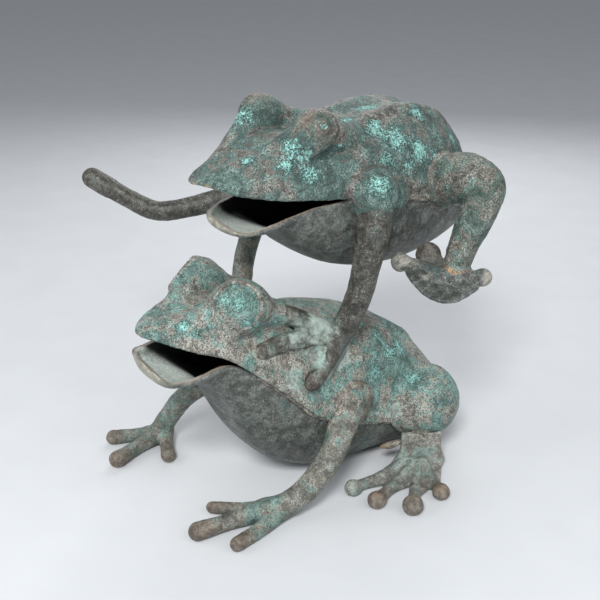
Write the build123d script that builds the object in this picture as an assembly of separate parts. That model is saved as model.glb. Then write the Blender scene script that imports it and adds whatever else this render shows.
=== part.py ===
from build123d import *
from math import cos, pi, sin
import os

# Leapfrog figure: one hollow cast-brass frog vaulting over another.
# Each frog is a rough back casting closed from below by a smooth belly pan whose front end is the
# lower jaw.  Arms, legs and feet are separate castings, brazed on.
# Millimetres.  +Z is up, the frogs look along -Y, and +X is their left side.
# The figure is drawn about the plane x = 0 that both bodies share, then moved so that the origin is
# the bottom centre of the whole figure's box.

WALL = 2.2          # thickness of the body castings
FIT = 0.3           # gap left between castings that lie side by side
CUT = 5.0           # overshoot of every cutting solid
ARCH_STEPS = 8      # spans of the spline across a body
SQUARENESS = 0.86   # below 1 the sections are fuller than an ellipse
TIP_SWELL = 0.3     # how much the ball at the end of a limb or finger stands out

# Body stations: distance along the body, half width, height of the rim, height of the crown or keel.
LOWER_BACK = [
    (-128, 4, 101.5, 106), (-122, 10, 100, 109), (-108, 20, 95, 113), (-92, 26, 88.5, 116),
    (-76, 29.5, 75.5, 113), (-60, 32, 61, 107), (-44, 34.5, 45.5, 101), (-20, 36.5, 34.5, 93),
    (5, 37, 26, 84), (30, 36, 19, 70), (48, 31, 15, 51), (62, 22, 13, 34), (71, 10, 12, 21),
]
LOWER_BELLY = [
    (-128, 6, 82.5, 79.5), (-123, 12.5, 80, 75), (-115, 19, 79.8, 71.5), (-105, 23.3, 82, 70),
    (-92, 23.2, 86.5, 60), (-76, 26.8, 77.5, 33), (-60, 29.4, 63, 14.5), (-44, 31.9, 47.5, 5),
    (-20, 33.9, 36.5, 1), (5, 34.4, 28, 0.8), (30, 33.2, 21, 1), (48, 27, 17, 3), (60, 17, 14.5, 7),
]
UPPER_BACK = [
    (-95, 3, 170.5, 174.5), (-89, 9, 169.5, 178), (-79, 17, 166, 182), (-63, 27, 163, 188),
    (-45, 31, 161, 191), (-28, 33, 159, 192), (-10, 35, 157, 194), (10, 37, 154, 196),
    (34, 36.5, 148.5, 195), (50, 34, 143, 189), (64, 29, 138, 176), (78, 20, 135, 160),
    (88, 9, 134, 147),
]
UPPER_BELLY = [
    (-82, 7, 145.3, 143), (-76, 13, 146, 141), (-68, 19, 148.8, 140), (-56, 25, 152, 139),
    (-42, 28.5, 156, 129), (-28, 30.2, 157, 121), (-10, 32.4, 159, 114), (10, 34.4, 156, 111),
    (34, 33.8, 150.5, 112.5), (50, 31.2, 145, 117), (64, 25.5, 140, 122.5), (76, 17, 137, 128),
]

# Eyes and thigh lobes stand out of the back castings as domes.
LOWER_EYE = (20, -81, 113, 12.5)
UPPER_EYE = (23, -39, 192, 10)
LOWER_LOBE = (35, 30, 32, 21)
LOBE_EDGE = 15      # height of the open lower edge of the thigh lobes

# Limbs: centre line and radius.
LOWER_LEFT_ARM = [
    (26, -12, 50, 9.5), (33, -23, 45, 9), (39, -32, 37, 7.6), (44.5, -42.5, 28.5, 6.6),
    (47, -54, 20, 6.4), (46, -63, 13, 6.2), (43, -72, 7.8, 6), (38, -80, 5.5, 5.6),
]
LOWER_LEFT_FINGERS = [
    [(40, -77, 5, 5), (28, -89, 3.8, 3.6), (16.6, -99.6, 3, 3)],
    [(38, -80, 5, 5.4), (34, -100, 4.4, 4), (31, -117, 4.2, 4.8)],
    [(43, -76, 5, 5), (48, -92, 3.8, 3.8), (50, -106, 3.2, 3.8)],
]
LOWER_RIGHT_ARM = [
    (-26, -20, 52, 9.5), (-34, -36, 48, 8.6), (-40, -54, 43, 7.2), (-47, -68, 36, 6.4),
    (-53, -76, 27, 6.1), (-58, -81, 17, 6), (-61, -85, 9, 5.8),
]
LOWER_RIGHT_FINGERS = [
    [(-62, -84, 6, 5), (-70, -97, 4, 3.8), (-76, -109, 3.6, 4.2)],
    [(-61, -85, 6, 5.2), (-58, -102, 4.2, 4), (-53, -118, 4, 4.8)],
    [(-59, -84, 6, 4.8), (-49, -89, 4, 3.8), (-40, -93, 3.6, 4.2)],
]
UPPER_LEFT_ARM = [
    (27, -4, 168, 11), (36, -10, 161, 10.5), (39.5, -14, 150, 9.6), (39.5, -15.5, 138, 8.8),
    (38, -17, 125, 8.6), (36, -18.5, 112, 8.2), (32, -20, 99, 7.6), (28, -24, 87, 7),
    (24, -30, 80, 6.4),
]
UPPER_LEFT_FINGERS = [
    [(27, -27, 84, 5.6), (19, -42, 92, 4), (12, -55, 101.5, 4)],
    [(25, -30, 82, 5.6), (25, -52, 89, 4), (25, -74, 88, 5)],
    [(28, -28, 82, 5.6), (32, -38, 73, 4), (32.5, -47, 66, 4)],
]
UPPER_RIGHT_ARM = [
    (-27, -8, 168, 10), (-36, -13, 160, 9), (-38, -22, 146, 7.4), (-36, -34, 130, 6.2),
    (-32, -43, 116, 5.6), (-27, -49, 104, 5.6), (-22, -54, 97, 5.4),
]
UPPER_RIGHT_FINGERS = [
    [(-24, -52, 99, 4.8), (-15, -60, 104, 3.6), (-7, -68, 109, 4)],
    [(-25, -52, 98, 4.8), (-27, -66, 94, 3.8), (-28, -80, 90, 4.6)],
    [(-26, -50, 98, 4.8), (-32, -51, 84, 3.6), (-34, -52, 71, 4)],
]
UPPER_LEFT_LEG = [
    (26, 40, 154, 13), (38, 37, 159, 13), (50, 38, 163, 12.4), (58, 42, 159, 11), (59, 40, 150, 9.6),
    (58.5, 35, 140, 8.8), (58, 30, 130, 7.6), (58, 26.5, 121, 6.8),
]
UPPER_RIGHT_LEG = [
    (-24, 42, 152, 12), (-38, 28, 150, 10.5), (-58, 2, 143, 8), (-76, -24, 134, 6.6),
    (-88, -42, 128.5, 5.9), (-99, -58, 126, 5.7), (-110, -69, 131.5, 5.5), (-119, -78, 138.5, 5.5),
]
LEG_END = [(-119, -78, 138.5, 5.9), (-127, -85, 144, 5.9)]

# Feet: a cast sheet webbed between the toes, with a ball at the end of each toe.
FOOT_SHEET = 3.0
SOLE_BITE = 1.2     # how far the toe balls are filed flat to stand
LOWER_FOOT_WEB = [
    (42, 5), (47, -26), (53, -13), (60, -24), (62, -3), (74, -14), (70, 4), (75, 7), (56, 27),
]
LOWER_TOES = [(47.3, -30.4, 4.6), (63.8, -28, 4.9), (79, -16.7, 5.4), (78.2, 4.4, 4.6)]
LOWER_ANKLE = [(42, 8, 20), (53, 28, 20)]
ANKLE_SHEET = 3.4
LOWER_ANKLE_BRAZE = (47, 17.5, 17.5, 5)

# The upper left foot trails: its sheet lies on this plane, toes backward, under the shin.
UPPER_FOOT_PLANE = Plane(origin=(60, 26, 115.5), x_dir=(0.6, 0.8, 0), z_dir=(0.194, -0.145, 0.97))
UPPER_FOOT_WEB = [
    (-17, -25), (-4, -26), (8, -13), (13, -5), (7, 3), (3, 17), (-6, 9), (-15, 17), (-20, 8),
    (-29, 8), (-27, -3),
]
UPPER_TOES = [(-29, 9, 5), (-15, 18, 5.8), (1, 19, 5), (13, -4, 4.8)]
UPPER_ANKLE_BRAZE = (58, 27, 121, 9)

# Pale filler that beds the upper frog's hands on the lower frog's back.
LEFT_HAND_BED = (27, -27, 79, 9)
RIGHT_HAND_BED = (-25, -53, 96, 7.5)

# A leaf of bare brass that ties the left ankle to the belly pan.
ANKLE_LUG = [(36, 0, 12, 1.2), (39, 3, 13.5, 2.2), (41.5, 7, 15, 1.6)]

# Brazed seam between a back casting and its pan: radius, and the stretch that it runs along.
SEAM_RADIUS = 1.3
LOWER_SEAM = (-76, 5)
UPPER_SEAM = (-10, 64)

# Where each limb meets its body, and the radius of the brazing metal there.
LOWER_LEFT_SHOULDER = (33, -22, 45, 11.5)
LOWER_RIGHT_SHOULDER = (-32, -34, 48, 11)
UPPER_LEFT_SHOULDER = (34, -10, 161, 13)
UPPER_RIGHT_SHOULDER = (-35, -13, 160, 11.5)
UPPER_LEFT_HIP = (34, 38, 157, 15)
UPPER_RIGHT_HIP = (-34, 33, 152, 13.3)


def dome_section(station, squareness=SQUARENESS):
    """Closed D across the body: a chord along the rim and an arch to the crown or keel."""
    along, half, rim, top = station
    points = []
    for step in range(ARCH_STEPS + 1):
        angle = pi * step / ARCH_STEPS
        side = 1 if cos(angle) >= 0 else -1
        across = half * side * abs(cos(angle)) ** squareness
        rise = abs(sin(angle)) ** squareness
        points.append(Vector(across, along, rim + (top - rim) * rise))
    arch = Edge.make_spline(points)
    chord = Edge.make_line(points[-1], points[0])
    return Face(Wire([arch, chord]))


def body_solid(stations):
    return loft([dome_section(station) for station in stations])


def hollow_of(stations):
    """The space inside a casting: one wall smaller all round and open past the rim."""
    inner = []
    first, last = stations[0], stations[-1]
    for along, half, rim, top in stations:
        upward = 1 if top > rim else -1
        if abs(top - rim) < 2 * WALL or half < 2 * WALL:
            continue
        inner.append((along, half - WALL, rim - upward * CUT, top - upward * WALL))
    front, rear = inner[0], inner[-1]
    inner[0] = (max(front[0], first[0] + WALL),) + front[1:]
    inner[-1] = (min(rear[0], last[0] - WALL),) + rear[1:]
    return loft([dome_section(station) for station in inner])


def grown(stations, gap):
    """The same body, larger by the gap all round."""
    bigger = []
    for along, half, rim, top in stations:
        upward = 1 if top > rim else -1
        bigger.append((along, half + gap, rim, top + upward * gap))
    return bigger


def ball(x, y, z, radius):
    return Pos(x, y, z) * Sphere(radius)


def both_sides(x, y, z, radius):
    return ball(x, y, z, radius) + Rot(0, 0, 180) * ball(x, -y, z, radius)


def limb(line):
    """A tapering round rod along a line of centres, ended by a ball a little larger than the rod."""
    centres = [Vector(*point[:3]) for point in line]
    outward = 1 if line[-1][0] > 0 else -1
    across = Vector(0.6 * outward, 0, 0.8)
    rings = []
    for index, point in enumerate(line):
        before = centres[max(index - 1, 0)]
        after = centres[min(index + 1, len(line) - 1)]
        forward = (after - before).normalized()
        across = (across - forward * across.dot(forward)).normalized()
        plane = Plane(origin=centres[index], x_dir=across, z_dir=forward)
        rings.append(plane * Circle(point[3]))
    x, y, z, radius = line[-1]
    return loft(rings) + ball(x, y, z, radius + TIP_SWELL)


def hand_and_arm(arm, fingers):
    whole = limb(arm)
    for finger in fingers:
        whole += limb(finger)
    return whole


def above_floor(shape):
    floor = Pos(0, 0, -50) * Box(600, 600, 100)
    return shape - floor


def webbed_sheet(outline):
    return extrude(make_face(Polyline(outline, close=True)), FOOT_SHEET)


def lower_foot(side):
    """Foot flat on the floor, bent up to the ankle edge under the thigh."""
    low, high = [Vector(side * x, y, z) for x, y, z in LOWER_ANKLE]
    middle = (low + high) * 0.5
    run = high - low
    ankle_plane = Plane(origin=(middle.X, middle.Y, middle.Z / 2), x_dir=run, z_dir=(0, 0, 1))
    foot = webbed_sheet([(side * x, y) for x, y in LOWER_FOOT_WEB])
    foot += ankle_plane * Box(run.length, ANKLE_SHEET, middle.Z)
    for x, y, radius in LOWER_TOES:
        foot += ball(side * x, y, radius - SOLE_BITE, radius)
    return above_floor(foot)


def upper_foot():
    foot = webbed_sheet(UPPER_FOOT_WEB)
    for x, y, radius in UPPER_TOES:
        foot += ball(x, y, FOOT_SHEET / 2, radius)
    return UPPER_FOOT_PLANE * foot


def seam(back, stretch, side):
    """Bead in the corner under a back casting's rim, following the pan."""
    start, end = stretch
    line = []
    for along, half, rim, _ in back:
        if start <= along <= end:
            line.append((side * (half - WALL + FIT), along, rim - FIT, SEAM_RADIUS))
    return limb(line)


def body_castings(back, belly, domes, open_below):
    """Back casting, belly pan, and the two solids that fill the frog's outline."""
    outer = body_solid(back)
    hollow = hollow_of(back)
    for x, y, z, radius in domes:
        outer += both_sides(x, y, z, radius)
        hollow += both_sides(x, y, z, radius - WALL)
    outer -= Pos(0, 0, open_below - 50) * Box(400, 400, 100)
    pan_solid = body_solid(belly)
    pan_room = body_solid(grown(belly, FIT))
    casting = outer - hollow - pan_room
    pan = pan_solid - hollow_of(belly)
    return casting, pan, [outer, pan_solid]


def less(shape, neighbours):
    """The largest solid left of a shape once its neighbours are taken out."""
    for neighbour in neighbours:
        shape = largest(shape - neighbour)
    return shape


def largest(shape):
    return max(shape.solids(), key=lambda solid: solid.volume)


def build():
    pieces = {}
    back, pan, lower = body_castings(LOWER_BACK, LOWER_BELLY, [LOWER_EYE, LOWER_LOBE], LOBE_EDGE)
    pieces["lower_back_shell"] = back
    pieces["lower_belly_pan"] = pan
    back, pan, upper = body_castings(UPPER_BACK, UPPER_BELLY, [UPPER_EYE], 0)
    pieces["upper_back_shell"] = back
    pieces["upper_belly_pan"] = pan

    foot = upper_foot()
    pieces["upper_left_foot"] = foot
    limbs = [
        ("lower_left_arm", LOWER_LEFT_ARM, LOWER_LEFT_FINGERS, lower, LOWER_LEFT_SHOULDER),
        ("lower_right_arm", LOWER_RIGHT_ARM, LOWER_RIGHT_FINGERS, lower, LOWER_RIGHT_SHOULDER),
        ("upper_left_arm", UPPER_LEFT_ARM, UPPER_LEFT_FINGERS, upper, UPPER_LEFT_SHOULDER),
        ("upper_right_arm", UPPER_RIGHT_ARM, UPPER_RIGHT_FINGERS, upper, UPPER_RIGHT_SHOULDER),
        ("upper_left_leg", UPPER_LEFT_LEG, [], upper, UPPER_LEFT_HIP),
        ("upper_right_leg", UPPER_RIGHT_LEG, [], upper, UPPER_RIGHT_HIP),
    ]
    for name, line, fingers, body, seat in limbs:
        whole = hand_and_arm(line, fingers)
        if name.startswith("lower"):
            whole = above_floor(whole)
        elif name.endswith("arm"):
            whole = less(whole, lower)
        elif name == "upper_left_leg":
            whole = less(whole, [foot])
        trimmed = less(whole, body)
        pieces[name] = trimmed
        pieces[name + "_braze"] = less(ball(*seat), body + [trimmed])

    for side, name in ((1, "left"), (-1, "right")):
        foot = less(lower_foot(side), lower)
        pieces[f"lower_{name}_foot"] = foot
        x, y, z, radius = LOWER_ANKLE_BRAZE
        pieces[f"lower_{name}_ankle_braze"] = less(ball(side * x, y, z, radius), lower + [foot])
        for frog, back, stretch in (
            ("lower", LOWER_BACK, LOWER_SEAM),
            ("upper", UPPER_BACK, UPPER_SEAM),
        ):
            bead = seam(back, stretch, side)
            for piece in list(pieces.values()):
                bead = Compound((bead - piece).solids())
            pieces[f"{frog}_{name}_seam"] = bead

    leg = pieces["upper_left_leg"]
    pieces["upper_left_ankle_braze"] = less(
        ball(*UPPER_ANKLE_BRAZE), [pieces["upper_left_foot"], leg]
    )
    pieces["upper_right_ankle_stub"] = less(limb(LEG_END), [pieces["upper_right_leg"]])
    for name, bed in (("left", LEFT_HAND_BED), ("right", RIGHT_HAND_BED)):
        pieces[f"upper_{name}_hand_bed"] = less(ball(*bed), lower + [pieces[f"upper_{name}_arm"]])
    lug_room = [lower[0], lower[1], pieces["lower_left_foot"], pieces["lower_left_ankle_braze"]]
    pieces["lower_left_ankle_lug"] = less(limb(ANKLE_LUG), lug_room)
    return pieces


def centred(pieces):
    """Every piece moved together, so that the origin is the bottom centre of their common box."""
    corners = []
    for piece in pieces.values():
        points, _ = piece.tessellate(0.05)
        corners += points
    middle_x = (min(point.X for point in corners) + max(point.X for point in corners)) / 2
    middle_y = (min(point.Y for point in corners) + max(point.Y for point in corners)) / 2
    bottom = min(point.Z for point in corners)
    shift = Pos(-middle_x, -middle_y, -bottom)
    return {name: piece.moved(shift) for name, piece in pieces.items()}


os.makedirs("parts", exist_ok=True)
for name, shape in centred(build()).items():
    export_step(shape, f"parts/{name}.step")
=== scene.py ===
import bpy
import numpy as np
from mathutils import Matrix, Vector


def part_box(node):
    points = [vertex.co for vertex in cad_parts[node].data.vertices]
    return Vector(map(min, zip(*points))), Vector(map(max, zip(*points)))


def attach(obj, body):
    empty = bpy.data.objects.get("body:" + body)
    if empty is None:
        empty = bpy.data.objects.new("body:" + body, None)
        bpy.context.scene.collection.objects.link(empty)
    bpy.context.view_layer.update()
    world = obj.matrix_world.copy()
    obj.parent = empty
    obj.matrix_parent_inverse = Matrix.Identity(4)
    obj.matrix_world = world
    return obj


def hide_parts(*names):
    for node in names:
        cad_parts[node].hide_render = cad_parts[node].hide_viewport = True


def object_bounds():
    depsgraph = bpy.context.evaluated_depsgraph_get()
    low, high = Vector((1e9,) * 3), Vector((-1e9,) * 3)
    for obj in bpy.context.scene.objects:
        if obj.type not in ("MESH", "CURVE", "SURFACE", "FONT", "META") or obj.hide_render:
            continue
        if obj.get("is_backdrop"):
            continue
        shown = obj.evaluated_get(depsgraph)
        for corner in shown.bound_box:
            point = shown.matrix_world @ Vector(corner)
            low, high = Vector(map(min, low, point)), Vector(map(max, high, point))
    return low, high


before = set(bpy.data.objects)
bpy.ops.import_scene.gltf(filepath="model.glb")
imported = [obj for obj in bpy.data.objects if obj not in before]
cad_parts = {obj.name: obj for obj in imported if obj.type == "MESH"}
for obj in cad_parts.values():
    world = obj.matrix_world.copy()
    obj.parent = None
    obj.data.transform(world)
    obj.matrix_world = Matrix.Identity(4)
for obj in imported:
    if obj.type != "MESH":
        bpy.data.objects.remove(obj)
cad_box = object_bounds()

# Leapfrog figure of two hollow cast-brass frogs with a verdigris patina.
# Every casting is shaped as a distance field in millimetres: negative inside, zero on the skin.
# The fields share the CAD drawing frame: mid-plane x = 0, floor z = 0, frogs looking along -Y.

# -------------------------------- sizes, in millimetres
MM = 0.001
BODY_STEP = 0.9      # grid spacing of the body castings
LIMB_STEP = 0.7      # grid spacing of limbs, feet and trim
WALL = 2.2                                  # thickness of the body castings
LIP_BEAD = 0.7                              # how far a lower jaw's thick edge stands out on each face
ROD_REACH = 7.0                             # how far outside a rod its distance is worked out
LIMB_MARGIN = 9                             # room round a limb in its grid
CURVE_SPANS = 4                             # straight pieces between two given points of a line
SHEET_ROUND = 0.9                           # rounding of the edges of the feet

# Body stations: distance along the body, half width, height of the rim, height of the crown or keel.
LOWER_BACK = [
    (-125, 4, 101.5, 105.5), (-120, 9.5, 100, 106.5), (-108, 19, 95, 109), (-92, 26, 88.5, 111.5),
    (-76, 29.5, 75.5, 109), (-60, 32, 61, 103), (-44, 34.5, 45.5, 97), (-20, 36.5, 34.5, 92),
    (5, 37, 26, 84), (30, 36, 19, 70), (48, 31, 15, 51), (62, 22, 13, 34), (71, 10, 12, 21),
]
LOWER_BELLY = [
    (-124, 8.5, 86.5, 81), (-122, 14.5, 85, 78), (-114, 20.5, 83.5, 75.5), (-104, 23.8, 84.5, 74.5),
    (-92, 23.8, 84.8, 62), (-76, 26.8, 77.5, 33), (-60, 29.4, 63, 14.5), (-44, 31.9, 47.5, 5),
    (-20, 33.9, 36.5, 1), (5, 34.4, 28, 0.8), (30, 33.2, 21, 1), (48, 27, 17, 3), (60, 17, 14.5, 7),
]
UPPER_BACK = [
    (-93.5, 3, 170.5, 172.8), (-88, 9, 169.5, 174), (-79, 16.5, 166, 177), (-63, 27, 163, 182.5),
    (-45, 31, 161, 188), (-28, 33, 159, 187), (-10, 35, 157, 191), (10, 37, 154, 195),
    (34, 36.5, 148.5, 195), (50, 34, 143, 189), (64, 29, 138, 176), (78, 20, 135, 160),
    (88, 9, 134, 147),
]
UPPER_BELLY = [
    (-79.5, 10, 149.5, 145), (-76, 15, 148.5, 143.5), (-68, 20, 149.8, 142.5), (-56, 25, 152.4, 141.5),
    (-42, 28.5, 156, 130), (-28, 30.2, 157, 121), (-10, 32.4, 159, 114), (10, 34.4, 156, 111),
    (34, 33.8, 150.5, 112.5), (50, 31.2, 145, 117), (64, 25.5, 140, 122.5), (76, 17, 137, 128),
]
BACK_POWER = 2.33       # shape of a section: 2 is an ellipse, larger is boxier
BELLY_POWER = 2.6
LOWER_LOBE = (35, 30, 32, 21)   # the folded thigh, a ball: its centre and radius
LOBE_EDGE = 15                  # how low the back casting's edge drops round the thigh
JAW_LEAN = {"lower": 0.14, "upper": 0.13}   # how much lower the left side of the jaw hangs, per mm of x

# Brow: the ridge that runs from the snout up over each eye and fades into the neck, left side.
LOWER_BROW = [
    (3, -121, 102.5, 3.5), (8, -113, 104, 4.5), (12.5, -99, 107, 5.5), (18, -80.5, 112.5, 10.4),
    (19, -67, 106, 8), (18, -55, 101, 6),
]
UPPER_BROW = [
    (4, -86, 170.5, 3), (11, -69, 177, 4.6), (18, -53, 184.5, 6.6), (22.5, -38, 192.4, 9),
    (22, -25, 188, 7.6), (20, -13, 185, 6),
]
# Eyes: the middle of the mound, its radius across, how far it bulges, the way it looks, the radius of
# the groove round the ball, the depth of the groove, the height of the lid and the height of the ball.
LOWER_GAZE = ((20.5, -82.5, 112.5), 13, 7, (0.72, -0.56, 0.42), 9.8, 0.7, 1.5, 0.3)
UPPER_GAZE = ((22.5, -38, 192.6), 9.4, 9, (0.90, -0.25, 0.36), 5.4, 1.0, 1.2, 1.0)

# Limbs: centre line and radius.
LOWER_LEFT_ARM = [
    (26, -12, 50, 9.5), (33, -23, 45, 9), (39, -32, 37, 7.6), (44.5, -42.5, 28.5, 6.6),
    (47, -54, 20, 6.4), (46, -63, 13, 6.2), (43, -72, 7.8, 6), (38, -80, 5.5, 5.6),
]
LOWER_LEFT_FINGERS = [
    [(40, -77, 5, 5), (28, -89, 3.8, 3.6), (16.6, -99.6, 3, 3)],
    [(38, -80, 5, 5.4), (34, -100, 4.4, 4), (31, -117, 4.2, 4.8)],
    [(43, -76, 5, 5), (48, -92, 3.8, 3.8), (50, -106, 3.2, 3.8)],
]
LOWER_RIGHT_ARM = [
    (-26, -20, 52, 9.5), (-34, -36, 48, 8.6), (-40, -54, 43, 7.2), (-47, -68, 36, 6.4),
    (-53, -76, 27, 6.1), (-58, -81, 17, 6), (-61, -85, 9, 5.8),
]
LOWER_RIGHT_FINGERS = [
    [(-62, -84, 6, 5), (-70, -97, 4, 3.8), (-76, -109, 3.6, 4.2)],
    [(-61, -85, 6, 5.2), (-58, -102, 4.2, 4), (-53, -118, 4, 4.8)],
    [(-59, -84, 6, 4.8), (-49, -89, 4, 3.8), (-40, -93, 3.6, 4.2)],
]
UPPER_LEFT_ARM = [
    (28, -6, 162, 8.4), (35, -11, 160, 9), (39.5, -14, 150, 8.8), (39.5, -15.5, 138, 8.2),
    (38, -17, 125, 7.3), (36, -18.5, 112, 6.9), (32, -20, 99, 6.6), (28, -24, 87, 6.6),
    (24, -30, 80, 6.2),
]
UPPER_LEFT_FINGERS = [
    [(27, -27, 84, 5.6), (23.5, -43.7, 95.4, 4.9), (19.5, -60.4, 104.4, 5.2)],
    [(25, -30, 82, 5.6), (26, -52, 89, 4.6), (25, -74, 88, 5.2)],
    [(28, -28, 82, 5.8), (32, -38, 73, 4.8), (32.5, -47, 66, 5)],
]
UPPER_RIGHT_ARM = [
    (-27, -8, 168, 10), (-36, -13, 160, 9), (-38, -22, 146, 7.4), (-36, -34, 130, 6.2),
    (-32, -43, 116, 5.6), (-27, -49, 104, 5.6), (-22, -54, 97, 5.4),
]
UPPER_RIGHT_FINGERS = [
    [(-24, -52, 99, 4.8), (-15, -60, 104, 3.6), (-7, -68, 109, 4)],
    [(-25, -52, 98, 4.8), (-27, -66, 94, 3.8), (-28, -80, 90, 4.6)],
    [(-26, -50, 98, 4.8), (-32, -51, 84, 3.6), (-34, -52, 71, 4)],
]
UPPER_LEFT_LEG = [
    (26, 40, 154, 13), (38, 37, 159, 13), (50, 38, 163, 12.4), (58, 42, 159, 11), (59, 40, 150, 9.6),
    (58.5, 35, 140, 8.8), (58, 30, 130, 7.6), (58, 26.5, 121, 6.8),
]
UPPER_RIGHT_LEG = [
    (-24, 42, 152, 12), (-38, 28, 150, 10.5), (-58, 2, 143, 8), (-76, -24, 134, 6.6),
    (-88, -42, 128.5, 5.9), (-99, -58, 126, 5.7), (-110, -69, 131.5, 5.5), (-119, -78, 138.5, 5.5),
]
LEG_END = [(-119, -78, 138.5, 5.9), (-127, -85, 144, 5.9)]

# Feet: a cast sheet webbed between the toes, with a ball at the end of each toe: its place and radius.
LOWER_FOOT_WEB = [
    (42, 5), (47, -26), (53, -13), (60, -24), (62, -3), (74, -14), (70, 4), (75, 7), (56, 27),
]
LOWER_TOES = [(47.3, -30.4, 4.6), (63.8, -28, 4.9), (79, -16.7, 5.4), (78.2, 4.4, 4.6)]
SOLE_BITE = 1.2         # how much of a toe's ball is flattened by the floor
LOWER_ANKLE = [(42, 8), (53, 28)]
LOWER_ANKLE_BRAZE = (47, 17.5, 17.5, 5)

# The trailing foot's outline is drawn along and across its own sheet.
FOOT_SHEET = 3.0
UPPER_FOOT_ORIGIN = (60, 26, 115.5)
UPPER_FOOT_ALONG = (0.6, 0.8, 0)
UPPER_FOOT_NORMAL = (0.194, -0.145, 0.97)
UPPER_FOOT_WEB = [
    (-21, -17), (-17, -23), (-11, -26.5), (-5, -25.5), (2, -20), (8, -13), (12, -5), (7, 3), (3, 17),
    (-6, 9), (-15, 17), (-20, 8), (-29, 8), (-27, -3),
]
UPPER_TOES = [(-29, 9, 5), (-14, 16, 6.6), (1, 19, 5), (11.5, -4.5, 4.7)]
UPPER_ANKLE_BRAZE = (58, 27, 121, 9)
LEFT_HAND_BED = (27, -27, 79, 26)
RIGHT_HAND_BED = (-25, -53, 96, 16)
ANKLE_LUG = [(36, 0, 12, 1.2), (39, 3, 13.5, 2.2), (41.5, 7, 15, 1.6)]

# The drawing frame's place in the CAD frame: the lower back casting is symmetric about its mid-plane,
# starts at CAD_FRONT and its eyes reach EYE_TOP.
EYE_TOP = 125.5
CAD_FRONT = -128
back_low, back_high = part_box("lower_back_shell")
SHIFT = np.array([
    (back_low.x + back_high.x) / 2 / MM,
    back_low.y / MM - CAD_FRONT,
    back_high.z / MM - EYE_TOP,
])


# -------------------------------- distance fields
class Grid:
    """A box of evenly spaced samples of a distance field."""

    def __init__(self, low, high, step):
        self.low = np.array(low, float)
        self.step = step
        counts = np.ceil((np.array(high, float) - self.low) / step).astype(int) + 1
        self.value = np.full(counts, 1000.0, np.float32)

    def like(self, value=None):
        """Another grid over the same box."""
        other = Grid.__new__(Grid)
        other.low, other.step = self.low, self.step
        other.value = np.full_like(self.value, 1000.0) if value is None else value
        return other

    def block(self, low, high):
        """The slices of the samples between two corners."""
        first = np.floor((np.array(low) - self.low) / self.step).astype(int)
        last = np.ceil((np.array(high) - self.low) / self.step).astype(int) + 1
        first = np.clip(first, 0, self.value.shape)
        last = np.clip(last, 0, self.value.shape)
        return tuple(slice(a, b) for a, b in zip(first, last))

    def points(self, block=None):
        """x, y and z of the samples of a block, ready to broadcast."""
        block = block or tuple(slice(0, n) for n in self.value.shape)
        axes = [self.low[i] + self.step * np.arange(s.start, s.stop) for i, s in enumerate(block)]
        x, y, z = [axis.astype(np.float32) for axis in axes]
        return x[:, None, None], y[None, :, None], z[None, None, :]

    def at(self, points):
        """The field at any points, between samples by straight lines."""
        place = (points - self.low) / self.step
        place = np.clip(place, 0, np.array(self.value.shape) - 1.001)
        cell = place.astype(int)
        return between(place - cell, lambda corner: self.value[tuple((cell + corner).T)])

    def slope(self, points):
        """The field's gradient at any points."""
        columns = []
        for axis in range(3):
            nudge = np.zeros(3)
            nudge[axis] = self.step * 0.75
            columns.append((self.at(points + nudge) - self.at(points - nudge)) / (1.5 * self.step))
        return np.stack(columns, 1)


def between(part, corner_value):
    """Values part of the way across their cells, from the values at each cell's eight corners."""
    total = np.zeros(len(part))
    for corner in np.ndindex(2, 2, 2):
        share = np.where(corner, part, 1 - part)
        total += share[:, 0] * share[:, 1] * share[:, 2] * corner_value(corner)
    return total


def smooth_min(a, b, reach):
    """The union of two fields, with a fillet where they meet."""
    mix = np.clip(0.5 + 0.5 * (b - a) / reach, 0, 1)
    return b + (a - b) * mix - reach * mix * (1 - mix)


def smooth_max(a, b, reach):
    """The overlap of two fields, with a rounded edge where they cross."""
    return -smooth_min(-a, -b, reach)


def rounded(side, end, radius):
    """The overlap of two fields, with its corner rounded to a radius."""
    side, end = side + radius, end + radius
    corner = np.hypot(np.maximum(side, 0), np.maximum(end, 0))
    return np.minimum(np.maximum(side, end), 0) + corner - radius


def hermite(t, start, end, leave, arrive):
    """A smooth way from start to end with given slopes at both."""
    return (
        (2 * t**3 - 3 * t**2 + 1) * start + (t**3 - 2 * t**2 + t) * leave
        + (3 * t**2 - 2 * t**3) * end + (t**3 - t**2) * arrive
    )


def smooth_line(line):
    """A curve through given points, each a place and perhaps a radius."""
    points = np.array(line, float)
    before = np.vstack([2 * points[0] - points[1], points[:-1]])
    after = np.vstack([points[1:], 2 * points[-1] - points[-2]])
    slopes = (after - before) / 2
    curve = []
    for stretch in zip(points[:-1], points[1:], slopes[:-1], slopes[1:]):
        for t in np.arange(CURVE_SPANS) / CURVE_SPANS:
            curve.append(hermite(t, *stretch))
    return np.array(curve + [points[-1]])


def spread(stations, along):
    """Station values at any distances along the body, on a smooth curve through the stations."""
    table = np.array(stations, float)
    place, values = table[:, 0], table[:, 1:]
    slopes = np.gradient(values, place, axis=0)
    along = np.clip(along, place[0], place[-1])
    left = np.clip(np.searchsorted(place, along, side="right") - 1, 0, len(place) - 2)
    run = (place[left + 1] - place[left])[:, None]
    t = (along - place[left])[:, None] / run
    right = left + 1
    return hermite(t, values[left], values[right], run * slopes[left], run * slopes[right]).T


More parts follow.
